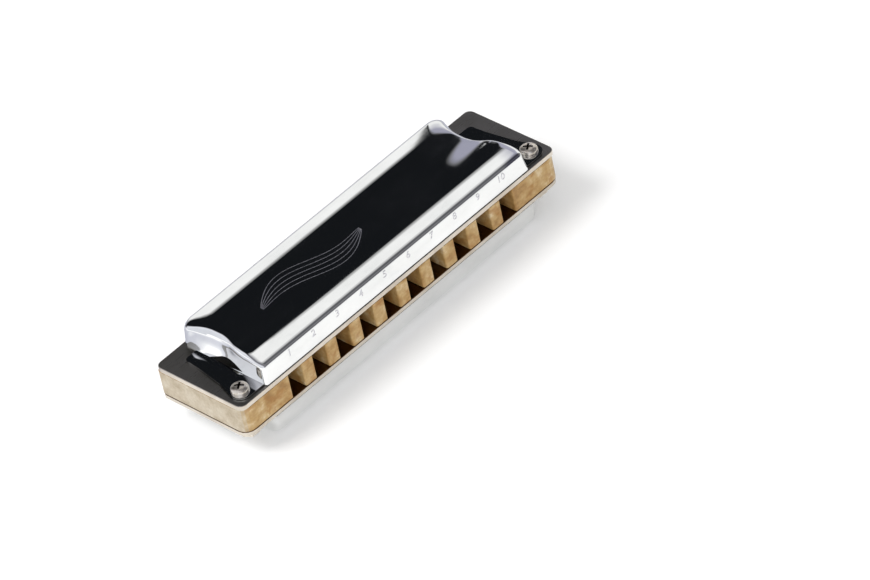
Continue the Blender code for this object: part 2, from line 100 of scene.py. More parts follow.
# The paper glows a little for the camera and for mirrors. Mirrors alone see it greyer
# behind the instrument, fading out far to the left.
bpy.ops.mesh.primitive_plane_add(size=8.0, location=(0.0, 0.0, 0.0))
floor = bpy.context.object
floor.name = "floor"
sweep = bpy.data.materials.new("white_sweep")
sweep.use_nodes = True
tree = sweep.node_tree
shader = tree.nodes["Principled BSDF"]
shader.inputs["Base Color"].default_value = linear("#F4F4F4")
shader.inputs["Roughness"].default_value = 0.5
shader.inputs["Specular IOR Level"].default_value = 0.1
shader.inputs["Emission Color"].default_value = linear("#FFFFFF")
rays = node(tree, "ShaderNodeLightPath")
seen = node(tree, "ShaderNodeMath", {"operation": "MAXIMUM"},
            _0=rays.outputs["Is Camera Ray"], _1=rays.outputs["Is Glossy Ray"])
glow = node(tree, "ShaderNodeMath", {"operation": "MULTIPLY", 1: 0.16}, _0=seen.outputs[0])
tree.links.new(glow.outputs[0], shader.inputs["Emission Strength"])
place = node(tree, "ShaderNodeTexCoord")
parts = node(tree, "ShaderNodeSeparateXYZ", _0=place.outputs["Object"])
behind = node(tree, "ShaderNodeMapRange", {1: 0.021, 2: 0.032}, _0=parts.outputs["Y"])
close = node(tree, "ShaderNodeMapRange", {1: -0.250, 2: -0.055}, _0=parts.outputs["X"])
greyer = node(tree, "ShaderNodeMath", {"operation": "MULTIPLY"},
              _0=behind.outputs[0], _1=close.outputs[0])
shade = node(tree, "ShaderNodeMath", {"operation": "MULTIPLY"},
             _0=greyer.outputs[0], _1=rays.outputs["Is Glossy Ray"])
paper = node(tree, "ShaderNodeMix",
             {"data_type": "RGBA", 6: linear("#F4F4F4"), 7: linear("#A2A4B4")},
             _0=shade.outputs[0])
tree.links.new(paper.outputs[2], shader.inputs["Base Color"])
floor.data.materials.append(sweep)

# The room is drawn by direction, and only mirrors see it. A direction's swing is its angle
# from straight up towards the back, in degrees; its side runs from -1, left, to 1, right.

def swing_place(angle):
    """Put a swing on the ramps' scale, which runs from 0 to 1 over 180 degrees."""
    return 0.5 + angle / 180


def side_place(side):
    """Put a side on the ramps' scale from 0 to 1."""
    return 0.5 + side / 2


world = bpy.data.worlds.new("studio")
scene.world = world
world.use_nodes = True
tree = world.node_tree
tree.nodes.clear()
place = node(tree, "ShaderNodeTexCoord")
parts = node(tree, "ShaderNodeSeparateXYZ", _0=place.outputs["Generated"])
swing = node(tree, "ShaderNodeMath", {"operation": "ARCTAN2"},
             _0=parts.outputs["Y"], _1=parts.outputs["Z"])
swing = node(tree, "ShaderNodeMapRange", {1: -math.pi / 2, 2: math.pi / 2}, _0=swing.outputs[0])
side = node(tree, "ShaderNodeMapRange", {1: -1.0, 2: 1.0}, _0=parts.outputs["X"])
walls = node(tree, "ShaderNodeValToRGB", {"stops": [(swing_place(angle), tone) for angle, tone in (
    (-90, "#C4C4C8"), (-74, "#808084"), (-58, "#58585C"), (-40, "#88888C"), (-20, "#5E5E62"),
    (-4, "#6A6A6E"), (11, "#FFFFFF"), (74, "#FFFFFF"), (84, "#B8B8BE"), (90, "#98989E"))]},
    _0=swing.outputs[0])
sides = node(tree, "ShaderNodeValToRGB", {"stops": [(side_place(x), tone) for x, tone in (
    (-0.80, "#E4E6EE"), (-0.62, "#F0F2FA"), (-0.45, "#E8E8F0"), (-0.30, "#C4C4CE"),
    (-0.08, "#66666C"), (0.12, "#9A9AA0"), (0.36, "#FFFFFF"),
    (0.508, "#FFFFFF"), (0.525, "#A6A6B8"), (0.70, "#B0B0C0"), (0.78, "#FFFFFF"))]},
    _0=side.outputs[0])

# The bands by side show everywhere, and those by swing join them right of the middle. Past
# the card's far edge at the right end, only those by swing are left.
banded = node(tree, "ShaderNodeMapRange", {1: 0.0, 2: 0.3}, _0=parts.outputs["X"])
room = node(tree, "ShaderNodeMix", {"data_type": "RGBA", "blend_type": "MULTIPLY"},
            _0=banded.outputs[0], _6=sides.outputs[0], _7=walls.outputs[0])
beyond = node(tree, "ShaderNodeMapRange", {1: swing_place(57), 2: swing_place(66)},
              _0=swing.outputs[0])
corner = node(tree, "ShaderNodeMapRange", {1: 0.508, 2: 0.525}, _0=parts.outputs["X"])
past = node(tree, "ShaderNodeMath", {"operation": "MULTIPLY"},
            _0=beyond.outputs[0], _1=corner.outputs[0])
room = node(tree, "ShaderNodeMix", {"data_type": "RGBA"},
            _0=past.outputs[0], _6=room.outputs[2], _7=walls.outputs[0])

# The card hangs between a near and a far edge, both soft. The far edge slants out to the
# left and steps out at the right end. The near edge starts later on the left of side 0.47.
slant, step_out, later = 45 / 180, 20 / 180, 7 / 180
leftward = node(tree, "ShaderNodeMapRange", {1: 0.455, 2: -0.545, 4: slant},
                _0=parts.outputs["X"])
rightward = node(tree, "ShaderNodeMapRange", {1: 0.494, 2: 0.503, 4: step_out},
                 _0=parts.outputs["X"])
spread = node(tree, "ShaderNodeMath", {"operation": "ADD"},
              _0=leftward.outputs[0], _1=rightward.outputs[0])
inward = node(tree, "ShaderNodeMath", {"operation": "SUBTRACT"},
              _0=swing.outputs[0], _1=spread.outputs[0])
far_edge = node(tree, "ShaderNodeMapRange", {1: swing_place(57), 2: swing_place(51)},
                _0=inward.outputs[0])
raised = node(tree, "ShaderNodeMapRange", {1: 0.475, 2: 0.458, 4: later},
              _0=parts.outputs["X"])
outward = node(tree, "ShaderNodeMath", {"operation": "SUBTRACT"},
               _0=swing.outputs[0], _1=raised.outputs[0])
near_edge = node(tree, "ShaderNodeMapRange", {1: swing_place(18), 2: swing_place(25)},
                 _0=outward.outputs[0])
height = node(tree, "ShaderNodeMath", {"operation": "MULTIPLY"},
              _0=far_edge.outputs[0], _1=near_edge.outputs[0])
wide = node(tree, "ShaderNodeValToRGB", {"stops": [(side_place(x), amount) for x, amount in (
    (-0.40, 0.0), (-0.22, 1.0), (0.513, 1.0), (0.530, 0.0))]}, _0=side.outputs[0])
card = node(tree, "ShaderNodeMath", {"operation": "MULTIPLY"},
            _0=height.outputs[0], _1=wide.outputs[0])
carded = node(tree, "ShaderNodeMix", {"data_type": "RGBA", 7: linear("#15171A")},
              _0=card.outputs[0], _6=room.outputs[2])

# Mirrors see the room, the camera sees white, and all else gets an even grey light.
even_light = (0.62, 0.62, 0.62, 1.0)
rays = node(tree, "ShaderNodeLightPath")
mirrored = node(tree, "ShaderNodeMix", {"data_type": "RGBA", 6: even_light},
                _0=rays.outputs["Is Glossy Ray"], _7=carded.outputs[2])
view = node(tree, "ShaderNodeMix", {"data_type": "RGBA", 7: linear("#FFFFFF")},
            _0=rays.outputs["Is Camera Ray"], _6=mirrored.outputs[2])
light = node(tree, "ShaderNodeBackground", {"Strength": 1.0}, Color=view.outputs[2])
node(tree, "ShaderNodeOutputWorld", Surface=light.outputs[0])

# Two square soft lamps, which mirrors don't see.
lamps = (("key", (-0.55, 0.30, 0.80), 0.45, 6.0), ("fill", (-0.60, -0.70, 0.45), 0.5, 1.7))
for name, place, size, watts in lamps:
    lamp = bpy.data.lights.new(name, "AREA")
    lamp.size = size
    lamp.energy = watts
    lamp_object = bpy.data.objects.new(name, lamp)
    scene.collection.objects.link(lamp_object)
    lamp_object.location = place
    lamp_object.rotation_euler = (-Vector(place)).to_track_quat("-Z", "Y").to_euler()
    lamp_object.visible_glossy = False


# Comb
# One block of wood compound, moulded with ten chambers, its mouth side rounded between
# the holes. The fibres show as short pale and dark flecks that lie along the block.

def new_material(name, colour, metallic, roughness):
    """Start a material. Each noise below has 1000 / its size in millimetres as its scale."""
    material = bpy.data.materials.new(name)
    material.use_nodes = True
    shader = material.node_tree.nodes["Principled BSDF"]
    shader.inputs["Base Color"].default_value = linear(colour)
    shader.inputs["Metallic"].default_value = metallic
    shader.inputs["Roughness"].default_value = roughness
    return material, material.node_tree, shader


def wood_compound():
    """Moulded wood flour and resin: matt tan, with fibres 0.6 mm thick and 2 mm long, and
    golden-brown blots of resin. Both end faces are painted paler and greyer: a painted sheen of
    grazing light."""
    material, tree, shader = new_material("wood_compound", "#C09C62", 0.0, 0.55)
    place = node(tree, "ShaderNodeTexCoord").outputs["Object"]
    along = node(tree, "ShaderNodeMapping", {"Scale": (0.3, 1.0, 1.0)}, Vector=place)
    fibres = node(tree, "ShaderNodeTexNoise",
                  {"Scale": 1000 / 0.6, "Detail": 3.0, "Roughness": 0.55},
                  Vector=along.outputs[0])
    blots = node(tree, "ShaderNodeTexNoise",
                 {"Scale": 1000 / 3.5, "Detail": 3.0, "Roughness": 0.6}, Vector=place)
    resin = node(tree, "ShaderNodeTexNoise",
                 {"Scale": 1000 / 2.4, "Detail": 2.0, "Distortion": 0.6}, Vector=place)
    pale = node(tree, "ShaderNodeValToRGB", {"stops": [
        (0.30, "#A67E48"), (0.44, "#BE985E"), (0.57, "#CDAE7A"), (0.70, "#E2CEA8")]},
        _0=blots.outputs[0])
    amount = node(tree, "ShaderNodeMapRange", {1: 0.54, 2: 0.68, 4: 0.55}, _0=resin.outputs[0])
    tan = node(tree, "ShaderNodeMix", {"data_type": "RGBA", 7: linear("#B07A3A")},
               _0=amount.outputs[0], _6=pale.outputs[0])
    # Painted sheen: faces turned to either end are mixed into a paler grey, as if lit by grazing
    # light.
    geometry = node(tree, "ShaderNodeNewGeometry")
    facing = node(tree, "ShaderNodeSeparateXYZ", _0=geometry.outputs["Normal"])
    turned = node(tree, "ShaderNodeMath", {"operation": "ABSOLUTE"}, _0=facing.outputs["X"])
    reach = node(tree, "ShaderNodeMath", {"operation": "ABSOLUTE"},
                 _0=node(tree, "ShaderNodeSeparateXYZ", _0=place).outputs["X"])
    at_end = node(tree, "ShaderNodeMapRange", {1: 0.047, 2: 0.049}, _0=reach.outputs[0])
    sheen_facing = node(tree, "ShaderNodeMapRange", {1: 0.35, 2: 0.95}, _0=turned.outputs[0])
    ends = node(tree, "ShaderNodeMath", {"operation": "MULTIPLY"},
                _0=at_end.outputs[0], _1=sheen_facing.outputs[0])
    grey = node(tree, "ShaderNodeValToRGB", {"stops": [
        (0.30, "#A99A82"), (0.50, "#BDB09A"), (0.70, "#CCC2B0")]}, _0=blots.outputs[0])
    ground = node(tree, "ShaderNodeMix", {"data_type": "RGBA"},
                  _0=ends.outputs[0], _6=tan.outputs[2], _7=grey.outputs[0])
    flecks = node(tree, "ShaderNodeValToRGB", {"stops": [(0.30, 0.10), (0.70, 0.60)]},
                  _0=fibres.outputs[0])
    colour = node(tree, "ShaderNodeMix", {"data_type": "RGBA", "blend_type": "SOFT_LIGHT", 0: 0.3},
                  _6=ground.outputs[2], _7=flecks.outputs[0])
    tree.links.new(colour.outputs[2], shader.inputs["Base Color"])
    relief = node(tree, "ShaderNodeBump", {"Distance": 0.00002}, Height=fibres.outputs[0])
    tree.links.new(relief.outputs[0], shader.inputs["Normal"])
    return material


def dress(names, material):
    """Give carried-over CAD nodes their finish."""
    for name in names:
        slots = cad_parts[name].data.materials
        slots.clear()
        slots.append(material)


dress(["comb"], wood_compound())


# Reed plates
# Two sheets of phosphor bronze, 1.2 mm thick, rolled, blanked and slotted. Rolling leaves
# faint lines along the plate, and handling leaves a thin brown-pink tarnish.

def bronze_plate():
    """Rolled phosphor bronze: pale pink-cream, as on the sheared edges, with rolling lines 0.25 mm
    apart. The flat faces are painted dark grey: a painted reflection of the dark card, and painted
    shade under the covers. Within 0.2 mm of the lower plate's inner face it is painted dark brown:
    painted shade on the chamber floors seen through the holes, and a thin dark line at the seam."""
    material, tree, shader = new_material("bronze_plate", "#D6CBBE", 1.0, 0.16)
    place = node(tree, "ShaderNodeTexCoord").outputs["Object"]
    along = node(tree, "ShaderNodeMapping", {"Scale": (0.03, 1.0, 1.0)}, Vector=place)
    lines = node(tree, "ShaderNodeTexNoise", {"Scale": 1000 / 0.25, "Detail": 3.0},
                 Vector=along.outputs[0])
    tarnish = node(tree, "ShaderNodeTexNoise",
                   {"Scale": 1000 / 6, "Detail": 3.0, "Roughness": 0.6}, Vector=place)
    edge = node(tree, "ShaderNodeValToRGB", {"stops": [(0.35, "#C8BEB0"), (0.60, "#D8D0C4")]},
                _0=tarnish.outputs[0])
    # Painted reflection and painted shade: the flat faces take a dark grey in place of the
    # bronze's own pale tone.
    face = node(tree, "ShaderNodeValToRGB", {"stops": [(0.35, "#89867F"), (0.65, "#93908A")]},
                _0=tarnish.outputs[0])
    geometry = node(tree, "ShaderNodeNewGeometry")
    normal = node(tree, "ShaderNodeSeparateXYZ", _0=geometry.outputs["True Normal"])
    level = node(tree, "ShaderNodeMath", {"operation": "ABSOLUTE"}, _0=normal.outputs["Z"])
    faces_painted_dark = node(tree, "ShaderNodeMapRange", {1: 0.5, 2: 0.9}, _0=level.outputs[0])
    metal = node(tree, "ShaderNodeMix", {"data_type": "RGBA"},
                 _0=faces_painted_dark.outputs[0], _6=edge.outputs[0], _7=face.outputs[0])
    # Painted shade: within 0.2 mm of the lower plate's inner face the bronze turns dark brown,
    # which darkens the chamber floors and draws a thin line along the seam with the comb.
    lower_seam, seam_reach = 0.0073, 0.0002
    height = node(tree, "ShaderNodeSeparateXYZ", _0=place)
    near = node(tree, "ShaderNodeMath",
                {"operation": "COMPARE", 1: lower_seam, 2: seam_reach}, _0=height.outputs["Z"])
    seam_line_and_shade = node(tree, "ShaderNodeMix", {"data_type": "RGBA", 7: linear("#5A4228")},
                   _0=near.outputs[0], _6=metal.outputs[2])
    tree.links.new(seam_line_and_shade.outputs[2], shader.inputs["Base Color"])
    rough = node(tree, "ShaderNodeMapRange", {3: 0.26, 4: 0.30}, _0=lines.outputs[0])
    tree.links.new(rough.outputs[0], shader.inputs["Roughness"])
    return material


dress(["upper_reed_plate", "lower_reed_plate"], bronze_plate())


# Reeds and rivets
# Ten blow and ten draw reeds, bronze strips graded in length and filed thin, each held by
# one brass rivet whose head is pressed on the pad.

def bronze_reed():
    """Milled reed bronze: golden, with file marks across the tongue every 0.15 mm."""
    material, tree, shader = new_material("bronze_reed", "#DDB070", 1.0, 0.26)
    place = node(tree, "ShaderNodeTexCoord").outputs["Object"]
    across = node(tree, "ShaderNodeMapping", {"Scale": (0.08, 1.0, 1.0)}, Vector=place)
    marks = node(tree, "ShaderNodeTexNoise", {"Scale": 1000 / 0.15, "Detail": 2.0},
                 Vector=across.outputs[0])
    colour = node(tree, "ShaderNodeValToRGB", {"stops": [(0.30, "#C8944F"), (0.70, "#E8C48A")]},
                  _0=marks.outputs[0])
    tree.links.new(colour.outputs[0], shader.inputs["Base Color"])
    relief = node(tree, "ShaderNodeBump", {"Distance": 0.000003}, Height=marks.outputs[0])
    tree.links.new(relief.outputs[0], shader.inputs["Normal"])
    return material


def brass_rivet():
    """Turned brass: yellow and bright, dulled in small spots where the punch struck."""
    material, tree, shader = new_material("brass_rivet", "#E2C07A", 1.0, 0.24)
    place = node(tree, "ShaderNodeTexCoord").outputs["Object"]
    spots = node(tree, "ShaderNodeTexNoise", {"Scale": 1000 / 0.4, "Detail": 2.0}, Vector=place)
    rough = node(tree, "ShaderNodeMapRange", {3: 0.18, 4: 0.36}, _0=spots.outputs[0])
    tree.links.new(rough.outputs[0], shader.inputs["Roughness"])
    colour = node(tree, "ShaderNodeValToRGB", {"stops": [(0.35, "#CFA65A"), (0.65, "#E8CC90")]},
                  _0=spots.outputs[0])
    tree.links.new(colour.outputs[0], shader.inputs["Base Color"])
    return material


reed_metal = bronze_reed()
rivet_metal = brass_rivet()
for kind in ("blow", "draw"):
    dress([f"{kind}_reed_{number:02d}" for number in range(1, 11)], reed_metal)
    dress([f"{kind}_rivet_{number:02d}" for number in range(1, 11)], rivet_metal)


# Covers
# Each is one pressed sheet of polished steel, 0.5 mm thick, and 0.3 at the flanges, which
# are screwed down. The left end's waist and dent are shallower, to suit the reflections.

def polished_steel():
    """Chromed and buffed steel: a clear mirror with faint smears and a hint of press waves."""
    material, tree, shader = new_material("polished_steel", "#F5F5F6", 1.0, 0.04)
    place = node(tree, "ShaderNodeTexCoord").outputs["Object"]
    along = node(tree, "ShaderNodeMapping", {"Scale": (0.5, 1.0, 1.0)}, Vector=place)
    smears = node(tree, "ShaderNodeTexNoise",
                  {"Scale": 1000 / 9, "Detail": 5.0, "Roughness": 0.65},
                  Vector=along.outputs[0])
    rough = node(tree, "ShaderNodeMapRange", {1: 0.45, 2: 0.75, 3: 0.03, 4: 0.09},
                 _0=smears.outputs[0])
    tree.links.new(rough.outputs[0], shader.inputs["Roughness"])
    tint = node(tree, "ShaderNodeValToRGB", {"stops": [
        (0.35, "#F2F3F2"), (0.55, "#ECEDEC"), (0.75, "#E1E3E2")]}, _0=smears.outputs[0])
    tree.links.new(tint.outputs[0], shader.inputs["Base Color"])
    waves = node(tree, "ShaderNodeTexNoise", {"Scale": 1000 / 16, "Detail": 1.0},
                 Vector=along.outputs[0])
    relief = node(tree, "ShaderNodeBump", {"Distance": 0.00002}, Height=waves.outputs[0])
    tree.links.new(relief.outputs[0], shader.inputs["Normal"])
    return material


def unpolished_steel():
    """The pressing's inner face, never buffed: dull, and painted dark grey as painted shade inside
    the cover.
    """
    material, tree, shader = new_material("unpolished_steel", "#3A3A3C", 1.0, 0.5)
    place = node(tree, "ShaderNodeTexCoord").outputs["Object"]
    drawn = node(tree, "ShaderNodeMapping", {"Scale": (0.1, 1.0, 1.0)}, Vector=place)
    marks = node(tree, "ShaderNodeTexNoise", {"Scale": 1000 / 0.4, "Detail": 3.0},
                 Vector=drawn.outputs[0])
    colour = node(tree, "ShaderNodeValToRGB", {"stops": [(0.35, "#2E2E30"), (0.65, "#464648")]},
                  _0=marks.outputs[0])
    tree.links.new(colour.outputs[0], shader.inputs["Base Color"])
    return material


# Half the instrument's length, the outer faces of the two reed plates, and the height of a
# flange's top over its plate.
HALF_LENGTH = 0.05025
PLATE_TOP = 0.0150
PLATE_BOTTOM = 0.0061
FLANGE_TOP = 0.00045


def eased(table, value, level_end=False):
    """Read a smooth curve through a short table of pairs, level at its turning points."""
    if value <= table[0][0]:
        return table[0][1]
    if value >= table[-1][0]:
        return table[-1][1]
    slopes = [(b[1] - a[1]) / (b[0] - a[0]) for a, b in zip(table[:-1], table[1:])]
    tangents = [slopes[0]]
    for first, second in zip(slopes[:-1], slopes[1:]):
        tangents.append(2 * first * second / (first + second) if first * second > 0 else 0.0)
    tangents.append(0.0 if level_end else slopes[-1])
    index = max(i for i, row in enumerate(table[:-1]) if row[0] <= value)
    (x0, y0), (x1, y1) = table[index], table[index + 1]
    width = x1 - x0
    t = (value - x0) / width
    return (y0 * (1 + 2 * t) * (1 - t) ** 2 + tangents[index] * width * t * (1 - t) ** 2
            + y1 * t * t * (3 - 2 * t) + tangents[index + 1] * width * t * t * (t - 1))


def loft(name, rings):
    """Skin closed rings of equal length in triangles and cap both ends."""
    bm = bmesh.new()
    rows = [[bm.verts.new(point) for point in ring] for ring in rings]
    count = len(rows[0])
    for lower, upper in zip(rows[:-1], rows[1:]):
        for index in range(count):
            after = (index + 1) % count
            bm.faces.new((lower[index], lower[after], upper[after], upper[index]))
    bm.faces.new(rows[0])
    bm.faces.new(rows[-1])
    bmesh.ops.triangulate(bm, faces=bm.faces)
    bmesh.ops.recalc_face_normals(bm, faces=bm.faces)
    mesh = bpy.data.meshes.new(name)
    bm.to_mesh(mesh)
    bm.free()
    made = bpy.data.objects.new(name, mesh)
    scene.collection.objects.link(made)
    return made


def select_only(made):
    """Make one object the only selected one, and the active one."""
    bpy.ops.object.select_all(action="DESELECT")
    bpy.context.view_layer.objects.active = made
    made.select_set(True)


def smooth(made, degrees):
    """Shade an object smooth where its faces meet at less than an angle."""
    select_only(made)
    bpy.ops.object.shade_smooth_by_angle(angle=math.radians(degrees))


def cut(target, tool, operation="DIFFERENCE"):
    """Apply a Boolean and remove the cutter."""
    modifier = target.modifiers.new("cut", "BOOLEAN")
    modifier.operation = operation
    modifier.solver = "MANIFOLD"
    modifier.object = tool
    select_only(target)
    bpy.ops.object.modifier_apply(modifier=modifier.name)
    bpy.data.objects.remove(tool, do_unlink=True)


def pressed_cover():
    """The upper cover's mesh, with the plate's face at height zero. Its crown is 0.04 mm
    lower than the solid's, which leaves room for the engraved lines."""
    depth, height, sheet, seam = 0.0262, 0.00606, 0.0005, 0.00015
    half_depth = depth / 2
    clearance = 0.0001
    foot = HALF_LENGTH - 0.0081
    screw_x, screw_y = HALF_LENGTH - 0.00405, 0.0041
    rows = [  # share of height, then the millimetres that the front and the rear have come
        # in, and the share of its lean that the end has come in
        (0.0, 0.0, 0.0, 0.0), (0.05, 0.10, 0.0, 0.07), (0.11, 0.18, 0.0, 0.16),
        (0.16, 0.22, 0.0, 0.23), (0.22, 0.25, 0.0, 0.31), (0.32, 0.27, 0.0, 0.44),
        (0.50, 0.28, 0.0, 0.66), (0.66, 0.30, 0.0, 0.81), (0.743, 0.40, 0.0, 0.88),
        (0.794, 0.62, 0.11, 0.92), (0.831, 0.95, 0.21, 0.94), (0.867, 1.50, 0.48, 0.96),
        (0.909, 2.45, 1.26, 0.98), (0.941, 3.22, 2.18, 0.99), (0.970, 3.98, 3.27, 1.0),
        (0.989, 4.60, 4.35, 1.01), (0.9968, 5.00, 5.11, 1.02), (1.0, 5.65, 6.0, 1.03)]
    lean_line = [(0.0, 0.0008), (0.13, 0.0006), (0.21, 0.0008), (0.263, 0.0010), (0.32, 0.0014),
                 (0.378, 0.0020), (0.435, 0.0028), (0.50, 0.0036), (0.57, 0.0040), (0.664, 0.0039),
                 (0.756, 0.0034), (0.847, 0.0026), (0.93, 0.0016), (1.0, 0.0010)]
    columns = [[(index, row[column]) for index, row in enumerate(rows)] for column in range(4)]
    top_row = len(rows) - 1
    fine_row, flat_x, flat_rings = 7, 0.026, 12
    front_steps, side_steps, rear_steps = 8, 40, 15
    front_radius, front_growth = 0.0009, 0.0005
    rear_radius, rear_growth, rear_start = 0.0024, 0.0014, 0.6
    roll_start, roll_front, roll_growth, roll_y, roll_length = 0.68, 0.0010, 0.0016, 0.0180, 0.0060
    left_waist, left_dent, right_dent = 0.55, 0.00010, 0.00032

    def dent(x, y, level):
        """How far the top sinks: a bowl behind the front shoulder that deepens to each end."""
        low_level, level_span, start, length, most = 0.3, 0.6, 0.0280, 0.0100, 1.15
        middle_y, slant, slant_start = 0.0106, 0.11, 0.030
        front_half, rear_half = 0.0034, 0.0036
        sink = min(max((level - low_level) / level_span, 0.0), 1.0)
        run = min(max(abs(x) - start, 0.0) / length, most)
        off = y - middle_y - slant * max(abs(x) - slant_start, 0.0)
        half_width = front_half if off < 0 else rear_half
        bowl = max(1 - (off / half_width) ** 2, 0.0) ** 2
        return (right_dent if x > 0 else left_dent) * sink * run ** 1.5 * bowl

    def ring(place, inset, low, crown):
        """One closed ring of the dome: its right half, then the left half mirrored."""
        level, front_in, rear_in, lean_share = (
            eased(column, min(place, top_row), column is columns[0]) for column in columns)
        front = clearance + front_in / 1000 + inset
        rear = depth - clearance - rear_in / 1000 - inset
        round_front = front_radius + front_growth * level
        round_rear = rear_radius + rear_growth * max(level - rear_start, 0.0) / (1 - rear_start)
        risen = max(level - roll_start, 0.0) / (1 - roll_start)
        roll = 1 - math.sqrt(max(1 - risen ** 2, 0.0))
        flat = max(place - top_row, 0) / flat_rings

        def end_x(y, waist):
            """Where the end wall stands: at its foot, less its lean and the roll at its top."""
            reach = roll_front + roll_growth * min(max((y - roll_y) / roll_length, 0.0), 1.0)
            edge = foot - lean_share * waist * eased(lean_line, y / depth) - roll * reach - inset
            return edge + (flat_x - edge) * flat

        def half(waist):
            """From the middle of the front, round both corners, to the middle of the rear."""
            corner = end_x(front, waist) - round_front
            found = [(corner * share, front) for share in (0.0, 0.3, 0.6, 0.85)]
            for step in range(front_steps + 1):
                angle = math.radians(90 * step / front_steps)
                y = front + round_front * (1 - math.cos(angle))
                found.append((end_x(y, waist) - round_front * (1 - math.sin(angle)), y))
            first = front + round_front
            last = rear - round_rear
            for step in range(1, side_steps + 1):
                y = first + (last - first) * step / side_steps
                found.append((end_x(y, waist), y))
            for step in range(1, rear_steps + 1):
                angle = math.radians(90 * step / rear_steps)
                y = last + round_rear * math.sin(angle)
                found.append((end_x(y, waist) - round_rear * (1 - math.cos(angle)), y))
            return found + [(found[-1][0] * share, rear) for share in (0.85, 0.5, 0.0)]

        right = half(1.0)
        left = [(-x, y) for x, y in reversed(half(left_waist)[1:-1])]
        z = low if place == 0 else seam + (crown - seam) * level
        return [(x, y - half_depth, z - dent(x, y, level)) for x, y in right + left]

    def dome(name, inset, low, crown):
        """Loft two rings to a row, six over the shoulder, and then level ones over the top."""
        places = [index / 2 for index in range(2 * fine_row)]
        places += [index + part / 6 for index in range(fine_row, top_row) for part in range(6)]
        places += list(range(top_row, top_row + flat_rings + 1))
        return loft(name, [ring(place, inset, low, crown) for place in places])

    # All of it starts below the foot, where the last cut leaves it level.
    shell = dome("cover", 0.0, -0.0005, height)
    hollow = dome("hollow", sheet, -0.001, height - sheet)
    for made in (shell, hollow):
        made.data.materials.append(steel)
        made.data.materials.append(inside)

    # The flange: a round lobe at the screw, a waist that sways in, and a small rear corner.
    inner_x, waist_x = foot - 0.003, foot + 0.0036
    lobe_radius, lobe_y = 0.00265, 0.00355
    tail_radius, tail_y = 0.001, 0.0205
    swell, sway_length, sway_start, sway_share = 0.0014, 0.0174, 0.25, 0.70
    flange_line = [(inner_x, lobe_y - lobe_radius)]
    for step in range(15):
        angle = math.radians(270 + 105 * step / 14)
        flange_line.append((screw_x + lobe_radius * math.cos(angle),
                            lobe_y + lobe_radius * math.sin(angle)))
    for step in range(1, 17):
        share = sway_start + sway_share * step / 16
        sway = (1 + math.cos(math.pi * share)) / 2
        flange_line.append((waist_x + (screw_x + swell - waist_x) * sway,
                            screw_y + sway_length * share))
    for step in range(7):
        angle = math.radians(10 + 80 * step / 6)
        flange_line.append((waist_x - tail_radius + tail_radius * math.cos(angle),
                            tail_y + tail_radius * math.sin(angle)))
    flange_line.append((inner_x, tail_y + tail_radius))
    for side in (-1, 1):
        flange = loft("flange", [[(side * x, y - half_depth, z) for x, y in flange_line]
                                 for z in (-0.0004, FLANGE_TOP)])
        cut(shell, flange, "UNION")

    for polygon in hollow.data.polygons:
        polygon.material_index = 1
    cut(shell, hollow)

    # The opening at the back, whose upper corners are rounded by this curve of shares.
    under, past_edge = -0.002, 0.002
    window_height, window_depth, window_side = 0.0047, 0.0025, 0.0076
    window_curve = [(0.0, 0.02), (0.0008, 0.20), (0.0018, 0.46), (0.0028, 0.68),
                    (0.0040, 0.85), (0.0058, 0.97), (window_side, 1.0)]
    insets = [window_side * step / 30 for step in range(31)]
    right = [(foot + past_edge, under)]
    right += [(foot - x, window_height * eased(window_curve, x)) for x in insets]
    outline = right + [(-x, z) for x, z in reversed(right)]
    cut(shell, loft("window", [[(x, y - half_depth, z) for x, z in outline]
                               for y in (depth - window_depth, depth + past_edge)]))

    # The vent arch in each end wall, which leaves the flange whole.
    arch_start, arch_end, arch_length, arch_lift = 0.0062, 0.0180, 0.0118, 0.0001
    arch_inner, arch_outer = foot - 0.006, foot - 0.0001
    arch_curve = [(arch_start, 0.0), (0.0072, 0.0006), (0.0084, 0.0012), (0.0098, 0.0017),
                  (0.0115, 0.0019), (0.0132, 0.0017), (0.0155, 0.0009), (arch_end, 0.0)]
    ys = [arch_start + arch_length * step / 40 for step in range(41)]
    arch = [(arch_start, under)]
    arch += [(y, seam + arch_lift + eased(arch_curve, y)) for y in ys]
    arch.append((arch_end, under))
    for side in (-1, 1):
        cut(shell, loft("vent", [[(side * x, y - half_depth, z) for y, z in arch]
                                 for x in (arch_inner, arch_outer)]))

    # The screw holes, and all that reaches below the foot.
    hole_radius, outside_x, outside_y = 0.0013, 0.06, 0.03
    for side in (-1, 1):
        bpy.ops.mesh.primitive_cylinder_add(
            vertices=48, radius=hole_radius, depth=0.004,
            location=(side * screw_x, screw_y - half_depth, 0.0))
        cut(shell, bpy.context.object)
    corners = ((-outside_x, -outside_y), (outside_x, -outside_y),
               (outside_x, outside_y), (-outside_x, outside_y))
    cut(shell, loft("below", [[(x, y, z) for x, y in corners] for z in (-0.004, seam)]))
    mesh = shell.data
    bpy.data.objects.remove(shell)
    return mesh


def place_cover(name, mesh, node_name, upper):
    """Set a copy of the pressing on the upper plate, or mirrored under the lower one."""
    made = bpy.data.objects.new(name, mesh.copy())
    scene.collection.objects.link(made)
    if upper:
        made.data.transform(Matrix.Translation((0.0, 0.0, PLATE_TOP)))
    else:
        turned_over = Matrix.Scale(-1, 4, (0, 0, 1))
        made.data.transform(Matrix.Translation((0.0, 0.0, PLATE_BOTTOM)) @ turned_over)
        made.data.flip_normals()
    smooth(made, 30)
    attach(made, BODY)
    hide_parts(node_name)


steel = polished_steel()
inside = unpolished_steel()
pressing = pressed_cover()
place_cover("cover_top", pressing, "upper_cover", True)
place_cover("cover_bottom", pressing, "lower_cover", False)


# Screws and nuts
# Nickelled steel: two pan-head screws clamp the covers, with hexagon nuts beneath, and
# five small pan-head screws hold the plates. Each has a cross punched in its head.

